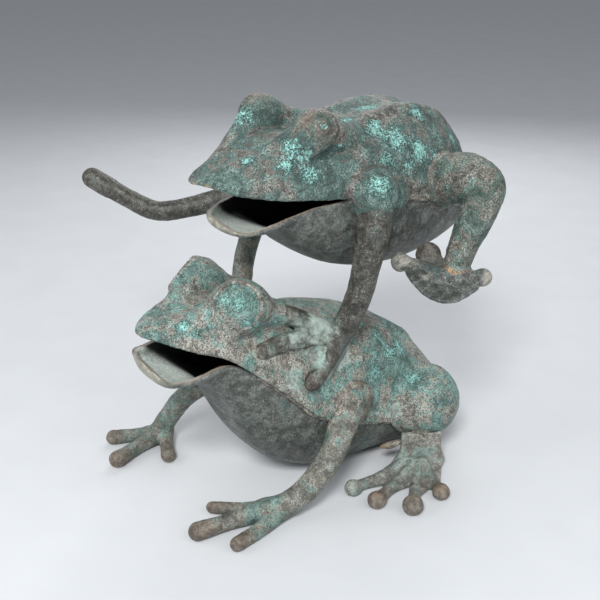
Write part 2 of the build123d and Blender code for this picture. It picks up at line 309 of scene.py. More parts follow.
def body_field(grid, stations, power, nose, tail):
    """The outline of a casting, straight-sided past its rim; nose and tail round its two ends."""
    x, y, z = grid.points()
    half, rim, top = [v[None, :, None].astype(np.float32) for v in spread(stations, y.ravel())]
    across = np.abs(x) / half
    rise = np.maximum((z - rim) / (top - rim), 0)
    share = (across**power + rise**power) ** np.float32(1 / power)
    steepness = np.sqrt(sum(g * g for g in np.gradient(share, grid.step)))
    section = (share - 1) / np.maximum(steepness, 0.004)
    middle = (stations[0][0] + stations[-1][0]) / 2
    past = np.where(y < middle, stations[0][0] - y, y - stations[-1][0])
    return rounded(section, past, np.where(y < middle, nose, tail)).astype(np.float32)


def from_line(start, end, x, y, z):
    """The squared distance to a straight line, and how far along it the nearest place is."""
    run = end[:3] - start[:3]
    offset = [x - start[0], y - start[1], z - start[2]]
    share = sum(o * r for o, r in zip(offset, run)) / max(run @ run, 1e-9)
    share = np.clip(share, 0, 1)
    return sum((o - share * r) ** 2 for o, r in zip(offset, run)), share


def rods(grid, line):
    """A tapering round rod along a smooth line of centres."""
    field = grid.like()
    curve = smooth_line(line)
    for start, end in zip(curve[:-1], curve[1:]):
        thick = max(start[3], end[3]) + ROD_REACH
        low = np.minimum(start[:3], end[:3]) - thick
        high = np.maximum(start[:3], end[:3]) + thick
        block = field.block(low, high)
        away, share = from_line(start, end, *field.points(block))
        radius = start[3] + share * (end[3] - start[3])
        field.value[block] = np.minimum(field.value[block], np.sqrt(away) - radius)
    return field.value


def ball(grid, x0, y0, z0, radius):
    """The distance to a ball."""
    x, y, z = grid.points()
    return (np.sqrt((x - x0) ** 2 + (y - y0) ** 2 + (z - z0) ** 2) - radius).astype(np.float32)


def stroke(grid, line, height, width):
    """Raises the skin near a line or a point, or sinks it for a negative height."""
    curve = smooth_line(line) if len(line) > 1 else np.array(line * 2, float)
    low, high = curve.min(0)[:3] - 2.6 * width, curve.max(0)[:3] + 2.6 * width
    block = grid.block(low, high)
    nearest = np.full(grid.value[block].shape, 1e6, np.float32)
    for start, end in zip(curve[:-1], curve[1:]):
        nearest = np.minimum(nearest, from_line(start, end, *grid.points(block))[0])
    grid.value[block] -= height * np.exp(-nearest / width**2)


def strokes(grid, marks):
    """Several strokes, each (line, height, width), on the left side and mirrored on the right."""
    for line, height, width in marks:
        stroke(grid, line, height, width)
        if any(point[0] != 0 for point in line):
            stroke(grid, [(-p[0],) + tuple(p[1:]) for p in line], height, width)


def eyes(grid, brow, gaze):
    """Brows that swell into eye mounds, each with a ball in a groove under an arched lid."""
    centre, radius, bulge, look, ring, groove, lid, pupil = gaze
    look = np.array(look) / np.linalg.norm(look)
    for side in (1, -1):
        line = [(side * x, y, z, r) for x, y, z, r in brow]
        grid.value = smooth_min(grid.value, rods(grid, line), 5).astype(np.float32)
        middle = np.array(centre) * (side, 1, 1)
        axis = look * (side, 1, 1)
        block = grid.block(middle - radius - 6, middle + radius + 6)
        x, y, z = grid.points(block)
        offset = [x - middle[0], y - middle[1], z - middle[2]]
        depth = sum(o * a for o, a in zip(offset, axis))
        out = np.sqrt(np.maximum(sum(o * o for o in offset) - depth**2, 0))
        mound = (np.sqrt((out / radius) ** 2 + (depth / bulge) ** 2) - 1) * bulge
        grid.value[block] = smooth_min(grid.value[block], mound, 0.4 * radius).astype(np.float32)
        facing = steps(depth / bulge, 0.0, 0.45)
        upper = steps(offset[2] / radius, -0.5, 0.2)
        relief = groove * (0.2 + 0.8 * upper) * np.exp(-((out - ring) / 1.2) ** 2)
        relief = relief - lid * (0.2 + 0.8 * upper) * np.exp(-((out - ring - 1.9) / 0.95) ** 2)
        relief = relief - pupil * np.exp(-((out / (ring * 0.75)) ** 2))
        relief = relief - 0.7 * np.exp(-((out / 1.8) ** 2))
        grid.value[block] += (facing * relief).astype(np.float32)


# -------------------------------- meshes
EDGES = [(a, b) for a in range(8) for b in range(8) if a < b and bin(a ^ b).count("1") == 1]


def skin(grid):
    """Vertices and quads of the field's zero surface: one vertex in each cell it passes through."""
    value = grid.value
    inside = value < 0
    shape = np.array(value.shape) - 1
    count = np.zeros(shape, np.uint8)
    views = []
    for code in range(8):
        shift = [(code >> axis) & 1 for axis in range(3)]
        view = tuple(slice(s, n + s) for s, n in zip(shift, shape))
        views.append(view)
        count += inside[view]
    cells = np.argwhere((count > 0) & (count < 8))
    number = np.full(shape, -1, np.int64)
    number[tuple(cells.T)] = np.arange(len(cells))
    corners = np.stack([value[view][tuple(cells.T)] for view in views], 1)
    offsets = np.array([[(code >> axis) & 1 for axis in range(3)] for code in range(8)], float)
    total = np.zeros((len(cells), 3))
    hits = np.zeros(len(cells))
    for a, b in EDGES:
        crossing = (corners[:, a] < 0) != (corners[:, b] < 0)
        gap = np.where(crossing, corners[:, a] - corners[:, b], 1)
        t = np.where(crossing, corners[:, a] / gap, 0)
        total += crossing[:, None] * (offsets[a] + t[:, None] * (offsets[b] - offsets[a]))
        hits += crossing
    points = grid.low + grid.step * (cells + total / hits[:, None])

    quads = []
    for axis in range(3):
        near = [slice(None)] * 3
        far = [slice(None)] * 3
        near[axis], far[axis] = slice(0, -1), slice(1, None)
        change = inside[tuple(near)] != inside[tuple(far)]
        edge = np.argwhere(change)
        leaving = inside[tuple(near)][tuple(edge.T)]
        u, v = [(1, 2), (2, 0), (0, 1)][axis]
        inner = ((edge[:, u] > 0) & (edge[:, v] > 0)
                 & (edge[:, u] < shape[u]) & (edge[:, v] < shape[v]))
        edge, leaving = edge[inner], leaving[inner]
        ring = []
        for du, dv in ((-1, -1), (0, -1), (0, 0), (-1, 0)):
            cell = edge.copy()
            cell[:, u] += du
            cell[:, v] += dv
            ring.append(number[tuple(cell.T)])
        quad = np.stack(ring, 1)
        quad[~leaving] = quad[~leaving][:, ::-1]
        quads.append(quad)
    quads = np.vstack(quads)
    return settle(grid, points, quads), quads


def gather(index, rows, count):
    """For each number up to count, the sum of the rows that have it as their index."""
    return np.stack([np.bincount(index, column, count) for column in rows.T], 1)


def settle(grid, points, quads):
    """Evens out the vertices, then puts them back on the surface."""
    ends = np.vstack([quads[:, [a, (a + 1) % 4]] for a in range(4)])
    degree = np.bincount(ends.ravel(), minlength=len(points))
    for _ in range(3):
        total = gather(ends[:, 0], points[ends[:, 1]], len(points))
        total += gather(ends[:, 1], points[ends[:, 0]], len(points))
        points = points + 0.6 * (total / np.maximum(degree, 1)[:, None] - points)
        slope = grid.slope(points)
        length = np.maximum((slope**2).sum(1), 0.05)
        move = -grid.at(points)[:, None] * slope / length[:, None]
        limit = 0.5 * grid.step
        far = np.maximum(np.linalg.norm(move, axis=1) / limit, 1)
        points = points + move / far[:, None]
    return points


def hashed(cells, seed):
    """A repeatable number from 0 to 1 for each lattice cell."""
    mixed = (cells * np.array([73856093, 19349663, 83492791])).sum(1) + seed * 2654435761
    mixed = (mixed ^ (mixed >> 13)) * 1274126177
    return ((mixed ^ (mixed >> 16)) & 0xFFFFFF) / 0xFFFFFF


def lumps(points, size, seed):
    """Smooth noise from -1 to 1 with features of about the given size."""
    place = points / size + 1000.37
    cell = np.floor(place).astype(np.int64)
    part = steps(place - cell, 0, 1)
    return 2 * between(part, lambda corner: hashed(cell + corner, seed)) - 1


def normals(points, quads):
    """The outward direction at each vertex."""
    face = np.cross(points[quads[:, 2]] - points[quads[:, 0]], points[quads[:, 3]] - points[quads[:, 1]])
    total = sum(gather(quads[:, corner], face, len(points)) for corner in range(4))
    return total / np.maximum(np.linalg.norm(total, axis=1), 1e-9)[:, None]


def near_spots(points, spots):
    """How strongly round spots, each (x, y, z, radius, strength), colour the skin."""
    strength = np.zeros(len(points))
    for x, y, z, radius, amount in spots:
        away = np.linalg.norm(points - (x, y, z), axis=1)
        strength = np.maximum(strength, amount * np.exp(-((away / radius) ** 2)))
    return strength


def steps(value, low, high):
    """A smooth change from 0 at low to 1 at high."""
    t = np.clip((value - low) / (high - low), 0, 1)
    return t * t * (3 - 2 * t)


def nowhere(points):
    """A mark that is absent all over."""
    return np.zeros(len(points))


def lip_shadow_plane(front, rim):
    """Painted shadow of the upper lip inside a mouth: black past a slanted plane behind the lower jaw's
    edge.
    """
    def deep(points):
        x, y, z = points.T
        return steps(0.71 * (y - front) + 0.70 * (z - rim) - 0.1 * x, 9, 12)
    return deep


def shape_marks(points, outward, shape, hollowed):
    """How much each vertex is in a recess, on a ridge, on a wall's raw edge and on its inside."""
    above, below = 2.5, 2.0
    recess = steps((above - shape.at(points + above * outward)) / above, 0.05, 0.75)
    ridge = steps((below + shape.at(points - below * outward)) / below, 0.08, 0.5)
    if not hollowed:
        return {"recess": recess, "ridge": ridge, "edge": nowhere(points), "inner": nowhere(points)}
    depth = -shape.at(points)
    inner = steps(depth, 0.5, 1.4)
    edge = steps(depth, 0.1, 0.5) * steps(WALL - depth, 0.2, 0.6)
    return {"recess": recess * (1 - inner), "ridge": ridge * (1 - inner), "edge": edge, "inner": inner}


def piece(name, grid, material, rough, seed, outer=None, bare=(), chalk=(), stain=(), dust=(),
          deep=nowhere):
    """One casting: the skin of its field, lumpy, with its wear, patina, painted shadow and painted
    highlights stored on its vertices.

    A hollow casting also gives the outer field that it was hollowed from.
    """
    points, quads = skin(grid)
    outward = normals(points, quads)
    marks = shape_marks(points, outward, outer or grid, outer is not None)
    # the dust mark is real powder, and on the trailing foot painted highlights
    for mark, spots in (("bare", bare), ("chalk", chalk), ("stain", stain), ("dust", dust)):
        marks[mark] = near_spots(points, spots)
    # the painted shadow of the upper lip inside a mouth
    marks["deep"] = deep(points)
    relief = (0.9 * lumps(points, 9, seed) + 0.7 * lumps(points, 4.3, seed + 1)
              + 0.5 * lumps(points, 2.1, seed + 2))
    points = points + (rough * relief)[:, None] * outward
    mesh = bpy.data.meshes.new(name)
    mesh.from_pydata(((points + SHIFT) * MM).tolist(), [], quads.tolist())
    mesh.validate()
    mesh.shade_smooth()
    for mark, values in marks.items():
        layer = mesh.attributes.new(mark, "FLOAT", "POINT")
        layer.data.foreach_set("value", values.astype(np.float32))
    thing = bpy.data.objects.new(name, mesh)
    bpy.context.scene.collection.objects.link(thing)
    mesh.materials.append(material)
    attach(thing, "root")
    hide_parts(name)


# -------------------------------- materials
class Paint:
    """A node material, built up from noises in millimetres and the marks stored on the castings."""

    def __init__(self, name):
        self.material = bpy.data.materials.new(name)
        self.material.use_nodes = True
        self.tree = self.material.node_tree
        self.shader = self.tree.nodes["Principled BSDF"]
        self.place = self.tree.nodes.new("ShaderNodeTexCoord").outputs["Object"]

    def node(self, kind, inputs, **settings):
        """A new shader node with some of its settings, and its inputs linked or set."""
        node = self.tree.nodes.new("ShaderNode" + kind)
        for key, value in settings.items():
            setattr(node, key, value)
        for key, value in inputs.items():
            self.feed(node.inputs[key], value)
        return node

    def feed(self, socket, value):
        """Links a socket to another one, or sets it to a number or a colour."""
        if isinstance(value, bpy.types.NodeSocket):
            self.tree.links.new(value, socket)
        elif isinstance(value, tuple):
            socket.default_value = value + (1,)
        else:
            socket.default_value = value

    def noise(self, size, detail, roughness, distortion=0.0):
        """Noise from 0 to 1 with features of the given size in millimetres."""
        inputs = {"Vector": self.place, "Scale": 1 / (size * MM), "Detail": detail,
                  "Roughness": roughness, "Distortion": distortion}
        return self.node("TexNoise", inputs).outputs["Fac"]

    def mark(self, name):
        """A mark stored on the vertices."""
        return self.node("Attribute", {}, attribute_name=name).outputs["Fac"]

    def math(self, operation, a, b):
        return self.node("Math", {0: a, 1: b}, operation=operation).outputs[0]

    def times(self, a, b):
        return self.math("MULTIPLY", a, b)

    def total(self, *parts):
        """The sum of several values, each with its weight."""
        result = 0.0
        for value, weight in parts:
            result = self.math("ADD", result, self.times(value, weight))
        return result

    def ease(self, value, low, high):
        """A smooth change from 0 at low to 1 at high."""
        inputs = {"Value": value, "From Min": low, "From Max": high}
        return self.node("MapRange", inputs, interpolation_type="SMOOTHSTEP").outputs["Result"]

    def mix(self, share, a, b):
        """Between two colours."""
        return self.node("Mix", {"Factor": share, "A": a, "B": b}, data_type="RGBA").outputs["Result"]

    def blend(self, share, a, b):
        """Between two numbers."""
        return self.node("Mix", {0: share, 2: a, 3: b}, data_type="FLOAT").outputs[0]

    def bump(self, height, depth):
        """A bumped normal, for relief of the given depth in millimetres."""
        inputs = {"Distance": depth * MM, "Strength": 1, "Height": height}
        return self.node("Bump", inputs).outputs["Normal"]


BRASS = (0.52, 0.33, 0.16)
CHALK = (0.40, 0.80, 0.73)
PALE = (0.40, 0.38, 0.33)
PINK = (0.44, 0.36, 0.28)
GRAIN = (0.55, 0.58, 0.53)
UMBER = (0.15, 0.105, 0.075)
PIT = (0.022, 0.026, 0.024)
SAND = (0.58, 0.64, 0.59)
# painted shadow: the black of the upper lip's shadow inside the mouths
SHADOW_BLACK = (0.02, 0.02, 0.02)
POWDER = (0.42, 0.53, 0.48)


def scaled(colour, share):
    return tuple(share * c for c in colour)


class Patina(Paint):
    """Cast brass under layers of tarnish, painted shadow and painted highlights, each layer a method
    that covers the colours before it.
    """

    def __init__(self, name, green, patch, grit, light):
        super().__init__(name)
        self.green, self.grit, self.light = green, grit, light
        self.recess, self.ridge, self.inner, self.edge, self.chalky, self.stain = [
            self.mark(mark) for mark in ("recess", "ridge", "inner", "edge", "chalk", "stain")
        ]
        self.fine = self.noise(0.8, 3, 0.8)
        self.small = self.noise(2.0, 3, 0.65, 0.4)
        self.medium = self.noise(5.5, 5, 0.7, 0.5)
        self.broad = self.noise(patch, 6, 0.7, 0.6)
        self.tone = self.ease(self.total((self.small, 0.45), (self.medium, 0.55)), 0.37, 0.63)

    def toned(self, colour, dark, bright):
        """A colour that varies from place to place between two shares of itself."""
        return self.mix(self.tone, scaled(colour, dark), scaled(colour, bright))

    def layer(self, colour, share, strength=1.0):
        """Covers what is there with a share of a colour."""
        self.colour = self.mix(self.times(share, strength), self.colour, colour)

    def tarnish(self, brown, cover):
        """Brown with green patches, in shades. Also works out where the patches' borders run."""
        amount = self.total((self.broad, 0.6), (self.medium, 0.28), (self.small, 0.12),
                            (self.recess, 0.10), (self.chalky, 0.10), (self.ridge, -0.10))
        self.green_share = self.ease(amount, cover - 0.03, cover + 0.035)
        self.border = self.math("SUBTRACT", self.ease(amount, cover - 0.045, cover - 0.015),
                                self.ease(amount, cover - 0.01, cover + 0.012))
        base = self.toned(brown, 0.42 * self.light, 1.35 * self.light)
        verdigris = self.toned(self.green, 0.42 * self.light, 1.3 * self.light)
        self.colour = self.mix(self.green_share, base, verdigris)
        shade = self.ease(self.noise(11, 3, 0.6, 0.3), 0.36, 0.60)
        self.layer(scaled(self.green, 0.25), self.blend(shade, 0.5, 0.0))

    def veins(self):
        """Pale borders round the green patches and pale wandering veins, both broken up by grain."""
        worm = self.noise(3.4, 4, 0.62, 0.6)
        vein = self.math("SUBTRACT", self.ease(worm, 0.45, 0.485), self.ease(worm, 0.50, 0.54))
        vein = self.times(vein, self.blend(self.green_share, 0.5, 0.15))
        pale = self.math("MAXIMUM", self.times(self.border, 0.6), vein)
        pale = self.times(pale, self.ease(self.fine, 0.36, 0.56))
        self.layer(scaled(PALE, self.light), pale, self.grit)

    def grain(self):
        """Pale specks in clusters, and dark pits."""
        cluster = self.ease(self.medium, 0.44, 0.60)
        cluster = self.times(cluster, self.blend(self.green_share, 0.9, 0.5))
        specks = self.times(self.ease(self.fine, 0.525, 0.585), cluster)
        self.layer(scaled(GRAIN, min(1.25 * self.light, 1)), specks, self.grit)
        self.layer(PIT, self.ease(self.fine, 0.475, 0.40), 0.85 * self.grit)

    def spots(self, dust):
        """Brown stains, and pale powder and painted highlights where they were placed."""
        self.layer(self.toned(UMBER, 0.4, 1.5), self.stain, 0.85)
        # pale powder, and painted highlights on the trailing foot's toe balls
        powder_and_highlight = self.total((self.mark("dust"), 1.0), (self.medium, 0.7), (self.fine, 0.3))
        self.layer(self.toned(dust, 0.55, 1.15), self.ease(powder_and_highlight, 0.72, 1.05), 0.85)

    def crust(self):
        """Bright chalky verdigris where it was placed, and dark green in the recesses."""
        thick = self.total((self.chalky, 0.42), (self.fine, 0.9), (self.small, 0.5))
        chalk = self.times(self.ease(thick, 0.90, 1.06), self.ease(self.chalky, 0.05, 0.3))
        self.chalk = self.times(chalk, self.ease(self.fine, 0.41, 0.50))
        self.layer(self.toned(CHALK, 0.6, 1), self.chalk)
        self.layer(scaled(self.green, 0.4), self.recess, 0.5)

    def hollow(self, lip):
        """The inside of a body, sandy and then painted black where the upper lip's shadow falls in the
        mouth, and the raw edge of its wall.
        """
        inside = self.mix(self.ease(self.fine, 0.38, 0.6), scaled(SAND, 0.55), SAND)
        # painted shadow of the upper lip over the sandy inside of the mouth
        self.layer(self.mix(self.mark("deep"), inside, SHADOW_BLACK), self.inner)
        self.layer(self.mix(self.fine, scaled(PINK, 0.4), PINK), self.edge, lip)

    def finish(self, rub):
        """Bare brass where the tarnish is rubbed off, and the surface's shine and relief."""
        rubbed = self.total((self.mark("bare"), 1.0), (self.ridge, rub), (self.small, 0.7))
        bare = self.ease(rubbed, 0.82, 1.12)
        self.layer(BRASS, bare)
        dull = self.blend(self.chalk, self.blend(self.green_share, 0.46, 0.62), 0.85)
        rise = self.total((self.fine, 0.6), (self.small, 0.8), (self.chalk, 0.2))
        for name, value in (
            ("Base Color", self.colour),
            ("Metallic", self.times(bare, 0.85)),
            ("Roughness", self.blend(bare, dull, 0.36)),
            ("Normal", self.bump(rise, self.grit)),
        ):
            self.feed(self.shader.inputs[name], value)


def patina(name, brown, green, cover, patch=17, grit=1.0, rub=0.0, light=1.0, lip=0.3, dust=POWDER):
    """Cast brass. A higher cover leaves less green; patch is the size of the green patches in mm."""
    paint = Patina(name, green, patch, grit, light)
    paint.tarnish(brown, cover)
    paint.veins()
    paint.grain()
    paint.spots(dust)
    paint.crust()
    paint.hollow(lip)
    paint.finish(rub)
    return paint.material


def floor_paint():
    paint = Paint("pale_floor")
    cloud = paint.noise(40, 2, 0.5)
    colour = paint.mix(cloud, (0.60, 0.62, 0.64), (0.66, 0.68, 0.70))
    paint.feed(paint.shader.inputs["Base Color"], colour)
    paint.feed(paint.shader.inputs["Roughness"], 0.9)
    return paint.material


TAUPE = (0.20, 0.18, 0.15)
TEAL = (0.115, 0.225, 0.20)
BACK = patina("rough_back_patina", TAUPE, TEAL, cover=0.50, light=1.36)
CROWN = patina("upper_back_patina", TAUPE, TEAL, cover=0.482, light=0.74)
PAN = patina("smooth_pan_patina", (0.095, 0.105, 0.095), (0.075, 0.11, 0.10), 0.54, 26, 0.3, lip=0.8,
             dust=(0.40, 0.38, 0.31))
LIMB = patina("limb_patina", (0.20, 0.185, 0.15), (0.145, 0.24, 0.21), 0.51, 14, 0.6, rub=0.10)
DARK = patina("dark_limb_patina", (0.048, 0.043, 0.034), (0.046, 0.072, 0.064), 0.55, 14, 0.32, rub=0.16,
              dust=(0.36, 0.44, 0.39))
THIGH = patina("thigh_patina", (0.13, 0.115, 0.09), (0.085, 0.15, 0.125), 0.50, 14, 0.8, rub=0.10)
FOOT = patina("foot_patina", (0.27, 0.26, 0.225), (0.26, 0.345, 0.31), 0.48, 12, 0.6, rub=0.1)
# the pale spot colour of the trailing foot is a painted highlight on its toe balls
SOLE = patina("trailing_foot_patina", (0.085, 0.095, 0.09), (0.09, 0.14, 0.135), 0.50, 10, 0.6, rub=0.1,
              dust=(0.40, 0.38, 0.33))
WELD = patina("braze_patina", (0.20, 0.165, 0.13), TEAL, 0.52, 9, 0.8, rub=0.2)
MINT = patina("pale_bed_patina", (0.29, 0.30, 0.26), (0.29, 0.41, 0.37), 0.46, 10, 0.4)


# -------------------------------- bodies
def hollow(field, wall=WALL):
    """The wall just inside a skin."""
    return np.abs(field + wall / 2) - wall / 2


def frog(low, high, back, belly, lobe, lean, features):
    """A frog's body as fields: the back's skin and casting, the belly's, and the solid they close."""
    outline = Grid(low, high, BODY_STEP)
    outline.value = body_field(outline, back, BACK_POWER, nose=3, tail=6)
    x, y, z = outline.points()
    edge = spread(back, y.ravel())[1][None, :, None] + 0 * x
    if lobe:
        for side in (1, -1):
            swell = ball(outline, side * lobe[0], *lobe[1:])
            outline.value = smooth_min(outline.value, swell, 6).astype(np.float32)
            edge = edge + (LOBE_EDGE - edge) * steps(-swell, -5, -1)
    features(outline)
    shell = np.maximum(hollow(outline.value), edge - z)

    chin = belly[0][0]
    bowl = body_field(outline, belly, BELLY_POWER, nose=2, tail=4)
    rim = spread(belly, y.ravel())[1][None, :, None] - lean * x * steps(y, chin + 26, chin + 6)
    lip = steps(y, chin + 46, chin + 34) * np.exp(-(((rim - z - 1.6) / 2.0) ** 2))
    pan = np.maximum(hollow(bowl - LIP_BEAD * lip, WALL + 2 * LIP_BEAD * lip), z - rim)
    solid = np.minimum(np.maximum(outline.value, edge - z), np.maximum(bowl, z - rim))
    fields = [outline.like(field.astype(np.float32)) for field in (shell, bowl, pan, solid)]
    return outline, *fields


def lower_features(grid):
    """Eyes, jaw folds, spine, nostrils and thigh creases."""
    eyes(grid, LOWER_BROW, LOWER_GAZE)
    strokes(grid, [
        ([(27, -90, 90), (31, -76, 79), (34, -60, 65), (36, -44, 50), (35, -32, 46)], 2.0, 3.4),
        ([(25, -84, 97), (29, -70, 91), (30, -56, 84)], -1.4, 2.6),
        ([(15, -50, 100), (17, -20, 92), (18, 10, 82), (17, 35, 66)], 1.6, 6),
        ([(0, -50, 103), (0, -10, 90), (0, 25, 73)], -1.0, 6),
        ([(13, -112, 106.5)], -1.0, 1.6),
        ([(33, 8, 45), (28, 20, 56), (26, 36, 54), (30, 50, 44)], -1.6, 3.4),
        ([(47, 8, 23), (58, 22, 20), (62, 38, 20), (52, 54, 21)], 1.4, 3.4),
    ])


def upper_features(grid):
    """Eyes, back ridges, spine, cheeks, flank folds and nostrils."""
    eyes(grid, UPPER_BROW, UPPER_GAZE)
    strokes(grid, [
        ([(17, -8, 193), (16, 6, 196), (15, 20, 196), (14.5, 37, 194), (13, 55, 186), (10, 70, 170)],
         2.6, 5.5),
        ([(0, -22, 193), (0, 15, 196), (0, 45, 191), (0, 66, 174)], -1.6, 6.5),
        ([(24, -60, 178), (28, -51, 181), (30, -44, 183)], 2.2, 5),
        ([(27, -50, 176), (32, -40, 181), (31, -26, 183)], 1.2, 2.2),
        ([(36, 2, 161), (37.5, 16, 160), (38, 30, 159), (37, 44, 155)], 1.6, 3),
        ([(36, 4, 156), (37.5, 18, 155), (37.5, 32, 153)], -1.2, 2.2),
        ([(11, -80, 180)], -1.0, 1.6),
    ])


# Spots of colour on the castings: place, radius and strength.
LOWER_CHALK = [
    (24, -92, 120, 5, 0.9), (31, -84, 108, 4, 0.7), (10, -104, 114, 4, 0.8), (14, -110, 108, 3.2, 1.2),
    (17, -104, 103, 2.6, 1.0), (-18, -90, 116, 7, 0.8), (8, -96, 112, 6, 0.6), (25, 5, 78, 6, 0.9),
    (20, -4, 84, 5, 0.9), (28, 18, 66, 7, 0.8), (34, -5, 60, 6, 0.8), (10, 20, 76, 7, 0.7),
    (38, 18, 50, 6, 0.8), (46, 38, 46, 4, 0.8), (32, 30, 58, 5, 0.8), (26, -14, 80, 4, 0.8),
    (31, 10, 66, 6, 0.9), (38, 0, 56, 5, 0.9), (27, -86, 118, 6, 0.7), (30, -80, 104, 5, 0.7),
    (16, 30, 70, 5, 0.8),
]
UPPER_CHALK = [
    (24, -54, 186, 6, 0.9), (30, -50, 182, 6, 0.9), (27, -58, 180, 7, 0.8), (32, -46, 175, 8, 0.9),
    (30, -47, 183.5, 2.4, 1.2), (31.5, -41, 182.5, 2.4, 1.2), (31.5, -35, 182.5, 2.4, 1.2),
    (31, -28, 184, 2.4, 1.2), (14, -72, 182, 3.5, 1.1), (22, -76, 172, 3.2, 0.9),
    (31.5, -40.5, 196, 2, 1.4), (-20, -50, 192, 7, 0.9), (10, -10, 194, 8, 0.9), (4, 10, 195, 8, 0.9),
    (24, 0, 190, 7, 1.0), (30, 8, 184, 8, 1.0), (33, 20, 176, 7, 1.0), (36, -2, 176, 7, 0.9),
    (35, 30, 172, 6, 0.8), (20, 30, 192, 6, 0.8), (24, 52, 176, 7, 0.7), (34, 12, 170, 6, 0.7),
]
BACK_DUST = [
    (24, -44, 88, 12, 0.6), (30, -30, 78, 13, 0.7), (16, -50, 97, 9, 0.5), (33, -58, 70, 9, 0.5),
    (38, 6, 34, 8, 0.5), (37, -20, 44, 8, 0.5),
]
UPPER_STAIN = [
    (31, -40, 195, 5, 0.8), (25, -45, 199, 5, 0.7), (24, -34, 202, 5, 0.6), (-23, -38, 201, 6, 0.7),
]
LIP_BARE = [
    (3, -94, 171, 4, 0.7), (8, -90, 169.5, 3.5, 0.75), (13, -84, 168, 3, 0.5), (0, -127, 103, 4, 0.4),
]
HAND_DUST = [
    (22, -38, 92, 12, 0.9), (25, -52, 92, 14, 0.55), (27, -72, 88, 9, 0.4), (30, -42, 72, 10, 0.45),
]
# painted highlights: pale spots where the trailing foot's toe balls catch the light
SOLE_HIGHLIGHTS = [(36, 8, 119, 8, 0.75), (52, 10, 113, 4, 0.8), (74, 33, 116, 6, 0.7)]
SOLE_STAIN = [(39, 23, 121, 9, 0.9), (74, 36, 112, 5, 0.7)]
ANKLE_BARE = [(58, 24, 118, 9, 0.6)]
LUG_BARE = [(39, 3, 13, 8, 0.55)]


def build_bodies():
    """The body castings. Returns each frog's closed body, which its limbs are cut back to."""
    solids = []
    for label, low, high, back, belly, lobe, features, paint, chalk, stain, dust, seed in (
        ("lower", (-60, -134, -3), (60, 79, 130), LOWER_BACK, LOWER_BELLY, LOWER_LOBE, lower_features,
         BACK, LOWER_CHALK, (), BACK_DUST, 11),
        ("upper", (-42, -101, 107), (42, 94, 206), UPPER_BACK, UPPER_BELLY, None, upper_features,
         CROWN, UPPER_CHALK, UPPER_STAIN, (), 37),
    ):
        outline, shell, bowl, pan, solid = frog(low, high, back, belly, lobe, JAW_LEAN[label], features)
        # painted shadow of the upper lip inside each mouth
        deep = lip_shadow_plane(belly[0][0], belly[2][2])
        piece(f"{label}_back_shell", shell, paint, 0.28, seed, outline, LIP_BARE, chalk,
              stain, dust, deep)
        chin = [(0, belly[0][0], belly[0][2] - 3, 17, 0.9)]
        piece(f"{label}_belly_pan", pan, PAN, 0.10, seed + 5, bowl, dust=chin, deep=deep)
        solids.append(solid)
    return solids


# -------------------------------- limbs, feet and trim
def limb_field(limb, fingers=()):
    """A limb and its fingers, each a line of centres with radii."""
    points = np.array([point for line in [limb, *fingers] for point in line], float)
    reach = points[:, 3].max() + LIMB_MARGIN
    grid = Grid(points[:, :3].min(0) - reach, points[:, :3].max(0) + reach, LIMB_STEP)
    grid.value = rods(grid, limb)
    for finger in fingers:
        grid.value = smooth_min(grid.value, rods(grid, finger), 2.5).astype(np.float32)
    return grid


def keep_outside(grid, solid, depth):
    """Cuts a casting off a little way inside the skin of the body that it joins."""
    near = np.argwhere(grid.value < 4)
    place = tuple(near.T)
    body = solid.at(grid.low + grid.step * near)
    grid.value[place] = np.maximum(grid.value[place], -(body + depth))


def above_floor(grid):
    """Flattens a casting where it stands on the floor."""
    z = grid.points()[2]
    grid.value = smooth_max(grid.value, -z, 0.8).astype(np.float32)


def fillet(seat, reach, solid, limb, fullness, swell=(), sink=0.2):
    """Metal run into the corner between a body and a limb, as far as reach from the seat's middle.

    Swell lists balls that add to it, and sink is how far its skin lies under those of body and limb.
    """
    x0, y0, z0, radius = seat
    middle = np.array([x0, y0, z0])
    grid = Grid(middle - radius - 4, middle + radius + 4, LIMB_STEP)
    points = grid.low + grid.step * np.indices(grid.value.shape).reshape(3, -1).T
    body = solid.at(points).reshape(grid.value.shape)
    arm = limb.at(points).reshape(grid.value.shape)
    joined = smooth_min(body, arm, fullness)
    for lump in swell:
        joined = smooth_min(joined, ball(grid, *lump), 3)
    joined = smooth_max(joined + sink, ball(grid, x0, y0, z0, reach), 2.5)
    grid.value = np.maximum(joined, -(body + 1.6)).astype(np.float32)
    return grid


def polygon_distance(u, v, outline):
    """Signed distance in a plane to a closed outline, negative inside."""
    nearest = np.full(np.broadcast(u, v).shape, 1e9)
    sign = np.ones(nearest.shape)
    for (ax, ay), (bx, by) in zip(outline, outline[1:] + outline[:1]):
        ex, ey = bx - ax, by - ay
        wx, wy = u - ax, v - ay
        share = np.clip((wx * ex + wy * ey) / (ex * ex + ey * ey), 0, 1)
        nearest = np.minimum(nearest, (wx - share * ex) ** 2 + (wy - share * ey) ** 2)
        above, below, turn = v >= ay, v < by, ex * wy > ey * wx
        flip = (above & below & turn) | (~above & ~below & ~turn)
        sign = np.where(flip, -sign, sign)
    return sign * np.sqrt(nearest)


def plate(flat, height, thickness):
    """A sheet from its outline distance and its height above the sheet's middle."""
    return rounded(flat, np.abs(height) - thickness / 2, SHEET_ROUND)


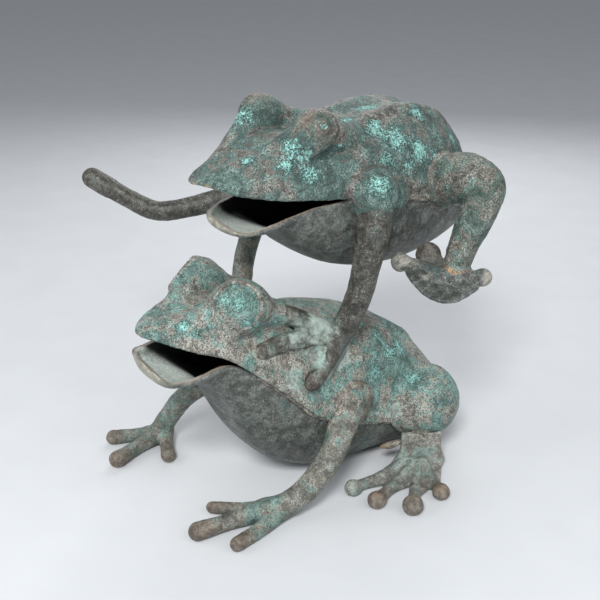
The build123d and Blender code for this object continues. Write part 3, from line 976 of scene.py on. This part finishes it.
def lower_foot(side):
    """A foot that stands on the floor: web, upright ankle sheet and toes; side is 1 for the left."""
    grid = Grid((30, -38, -3), (88, 36, 26), LIMB_STEP)
    x, y, z = grid.points()
    web = polygon_distance(x[:, :, 0:1], y[:, :, 0:1], LOWER_FOOT_WEB)
    heel = np.array(LOWER_ANKLE, float)
    root = heel.mean(0)
    run = heel[1] - heel[0]
    away = ((x - heel[0][0]) * run[1] - (y - heel[0][1]) * run[0]) / np.linalg.norm(run)
    rise = 1.4 + 2.2 * np.exp(-((away / 13) ** 2))
    field = plate(web, z - rise, 2.4)
    along = ((x - heel[0][0]) * run[0] + (y - heel[0][1]) * run[1]) / (run @ run)
    span = (np.abs(along - 0.5) - 0.5) * np.linalg.norm(run)
    ankle = plate(np.maximum(span, np.abs(z - 10) - 11), away - 0.05 * z, 3.4)
    field = smooth_min(field, ankle, 9)
    for tx, ty, radius in LOWER_TOES:
        reach = np.array([tx, ty]) - root
        toe = [(*(root + 0.2 * reach), 5.5, 2.2), (*(root + 0.55 * reach), 2.9, 2.0),
               (tx, ty, radius - SOLE_BITE, radius * 0.75)]
        field = smooth_min(field, rods(grid, toe), 3)
        field = smooth_min(field, ball(grid, tx, ty, radius - SOLE_BITE, radius), 1.6)
    grid.value = field.astype(np.float32)
    above_floor(grid)
    if side < 0:
        grid.value = grid.value[::-1].copy()
        grid.low[0] = -(grid.low[0] + grid.step * (grid.value.shape[0] - 1))
    return grid


def upper_foot():
    """The trailing foot: a dished web with toes."""
    origin = np.array(UPPER_FOOT_ORIGIN, float)
    along = np.array(UPPER_FOOT_ALONG, float)
    normal = np.array(UPPER_FOOT_NORMAL) / np.linalg.norm(UPPER_FOOT_NORMAL)
    across = np.cross(normal, along)
    grid = Grid(origin - (42, 42, 22), origin + (42, 42, 22), LIMB_STEP)
    x, y, z = grid.points()
    u, v, w = [(x - origin[0]) * a[0] + (y - origin[1]) * a[1] + (z - origin[2]) * a[2]
               for a in (along, across, normal)]
    w = w - FOOT_SHEET / 2      # height above the middle of the sheet
    web = polygon_distance(u, v, UPPER_FOOT_WEB)
    sag = -1.5 + 3.0 * ((u + 6) ** 2 + (v + 3) ** 2) / 25**2
    field = plate(web, w - np.minimum(sag, 2), 2.4)
    for tu, tv, radius in UPPER_TOES:
        flat = [(-2 + 0.2 * tu, -4 + 0.2 * tv, 0.5, 3), (0.6 * tu, 0.6 * tv, 0.6, 2.4),
                (tu, tv, 0.6, radius * 0.8)]
        toe = [(*(origin + along * a + across * b + normal * (c + FOOT_SHEET / 2)), r)
               for a, b, c, r in flat]
        field = smooth_min(field, rods(grid, toe), 3)
        field = smooth_min(field, ball(grid, *toe[-1][:3], radius), 1.5)
    grid.value = field.astype(np.float32)
    return grid


def seam(back, stretch, side):
    """A bead along the inside of the rim of a back casting."""
    start, end = stretch
    line = [(side * (half - WALL + 0.3), along, rim - 0.3, 1.3)
            for along, half, rim, _ in back if start <= along <= end]
    return limb_field(line)


def build_limbs(lower, upper):
    """Arms and legs, each with the metal that brazes it on. Returns the limbs before they are cut."""
    whole = {}
    for name, line, fingers, body, paint, seat, fullness, swell, seed in (
        ("lower_left_arm", LOWER_LEFT_ARM, LOWER_LEFT_FINGERS, lower, LIMB,
         (33, -22, 45, 12.5), 10, (), 50),
        ("lower_right_arm", LOWER_RIGHT_ARM, LOWER_RIGHT_FINGERS, lower, LIMB,
         (-32, -34, 48, 11), 7, (), 51),
        ("upper_left_arm", UPPER_LEFT_ARM, UPPER_LEFT_FINGERS, upper, DARK,
         (35, -9, 160, 15), 4, [(35, -11, 160, 12.3), (36, 3, 157, 8)], 52),
        ("upper_right_arm", UPPER_RIGHT_ARM, UPPER_RIGHT_FINGERS, upper, LIMB,
         (-35, -13, 160, 11.5), 6, [(-35, -13, 160, 10.5)], 53),
        ("upper_left_leg", UPPER_LEFT_LEG, [], upper, THIGH, (34, 38, 157, 15), 6, (), 54),
        ("upper_right_leg", UPPER_RIGHT_LEG, [], upper, DARK, (-34, 33, 152, 13.3), 6, (), 55),
    ):
        limb = limb_field(line, fingers)
        whole[name] = limb.like(limb.value.copy())
        if name.startswith("lower"):
            above_floor(limb)
        keep_outside(limb, body, 0.8)
        dust = HAND_DUST if name == "upper_left_arm" else ()
        tips = [finger[-1][:3] + (9, 0.3 if dust else 1.0) for finger in fingers]
        piece(name, limb, paint, 0.22, seed, stain=tips, dust=dust)
        weld = fillet(seat, seat[3] + 2, body, whole[name], fullness, swell)
        spots = [(seat[0] + 8, seat[1] - 6, seat[2] + 6, 7, 0.9)] if swell else ()
        piece(f"{name}_braze", weld, CROWN if swell else WELD, 0.3, seed + 20, chalk=spots)
    return whole


def build_feet(lower, whole):
    """The trailing foot, the two that stand, and the metal at their ankles."""
    foot = upper_foot()
    # pale spots here are painted highlights on the toe balls
    piece("upper_left_foot", foot, SOLE, 0.22, 90, stain=SOLE_STAIN, dust=SOLE_HIGHLIGHTS)
    weld = fillet(UPPER_ANKLE_BRAZE, 10, foot, whole["upper_left_leg"], 4)
    piece("upper_left_ankle_braze", weld, WELD, 0.35, 91, bare=ANKLE_BARE)
    for side, label in ((1, "left"), (-1, "right")):
        foot = lower_foot(side)
        keep_outside(foot, lower, -0.3)
        tips = [(side * x, y, 5, 8.5, 1.25) for x, y, _ in LOWER_TOES[1:]]
        piece(f"lower_{label}_foot", foot, FOOT, 0.22, 92, stain=tips)
        x, y, z, radius = LOWER_ANKLE_BRAZE
        weld = fillet((side * x, y, z, radius + 2), radius + 1.5, lower, foot, 4)
        piece(f"lower_{label}_ankle_braze", weld, WELD, 0.3, 93)


def build_trim(lower, whole):
    """The seams, the stub at the end of the right leg, the ankle lug and the filler under the hands."""
    for side, label in ((1, "left"), (-1, "right")):
        piece(f"lower_{label}_seam", seam(LOWER_BACK, (-76, 5), side), WELD, 0.3, 95)
        piece(f"upper_{label}_seam", seam(UPPER_BACK, (-10, 64), side), WELD, 0.3, 96)
    piece("upper_right_ankle_stub", limb_field(LEG_END), DARK, 0.2, 97)
    piece("lower_left_ankle_lug", limb_field(ANKLE_LUG), WELD, 0.15, 98, bare=LUG_BARE)
    bed = fillet(LEFT_HAND_BED, 21, lower, whole["upper_left_arm"], 11, sink=1.1)
    piece("upper_left_hand_bed", bed, MINT, 0.12, 99)
    bed = fillet(RIGHT_HAND_BED, 14, lower, whole["upper_right_arm"], 9, sink=1.0)
    piece("upper_right_hand_bed", bed, MINT, 0.12, 100)


# -------------------------------- stage, light and camera
FLOOR_HALF = 14             # metres
FLOOR_GAP = 0.0002          # metres from the floor up to the lowest point of the CAD
LIGHTS = [                  # name, place in the drawing frame, size in metres, power in watts
    ("key", (610, -670, 860), 0.30, 12.5),
    ("fill", (620, 150, 420), 0.7, 1.6),
    ("back", (-420, 420, 520), 0.6, 2.4),
    ("left", (-300, -620, 420), 0.6, 1.8),
]
LIGHT_TARGET = (0, -10, 95)
CAMERA_PLACE = (372.3, -310.7, 292.0)
CAMERA_TARGET = (-40, 0, 75)


def put(name, data, place, target):
    """Adds a light or a camera to the scene, aimed at a target; both are in the drawing frame."""
    thing = bpy.data.objects.new(name, data)
    bpy.context.scene.collection.objects.link(thing)
    thing.location = Vector((place + SHIFT) * MM)
    direction = Vector((target + SHIFT) * MM) - thing.location
    thing.rotation_euler = direction.to_track_quat("-Z", "Y").to_euler()
    return thing


def build_floor():
    mesh = bpy.data.meshes.new("floor")
    corners = [(-1, -1), (1, -1), (1, 1), (-1, 1)]
    mesh.from_pydata([(FLOOR_HALF * x, FLOOR_HALF * y, 0) for x, y in corners], [], [(0, 1, 2, 3)])
    mesh.materials.append(floor_paint())
    floor = bpy.data.objects.new("floor", mesh)
    floor.location.z = cad_box[0][2] - FLOOR_GAP
    bpy.context.scene.collection.objects.link(floor)
    floor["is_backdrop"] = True


def build_lights():
    world = bpy.data.worlds.new("studio")
    world.use_nodes = True
    sky = world.node_tree.nodes["Background"]
    sky.inputs["Color"].default_value = (0.86, 0.90, 0.95, 1)
    sky.inputs["Strength"].default_value = 0.32
    bpy.context.scene.world = world
    for name, place, size, power in LIGHTS:
        light = bpy.data.lights.new(name, "AREA")
        light.size = size
        light.energy = power
        put(name, light, place, LIGHT_TARGET)


def build_camera():
    camera = bpy.data.cameras.new("camera")
    camera.sensor_width = 36
    camera.lens = 57
    camera.clip_start = 0.01
    camera.clip_end = 60
    bpy.context.scene.camera = put("camera", camera, CAMERA_PLACE, CAMERA_TARGET)


bpy.context.scene.view_settings.view_transform = "Standard"
build_camera()
build_floor()
build_lights()
lower_solid, upper_solid = build_bodies()
whole_limbs = build_limbs(lower_solid, upper_solid)
build_feet(lower_solid, whole_limbs)
build_trim(lower_solid, whole_limbs)

boxes = {"cad": cad_box, "visual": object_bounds()}
{key: [[float(v) for v in corner] for corner in value] for key, value in boxes.items()}
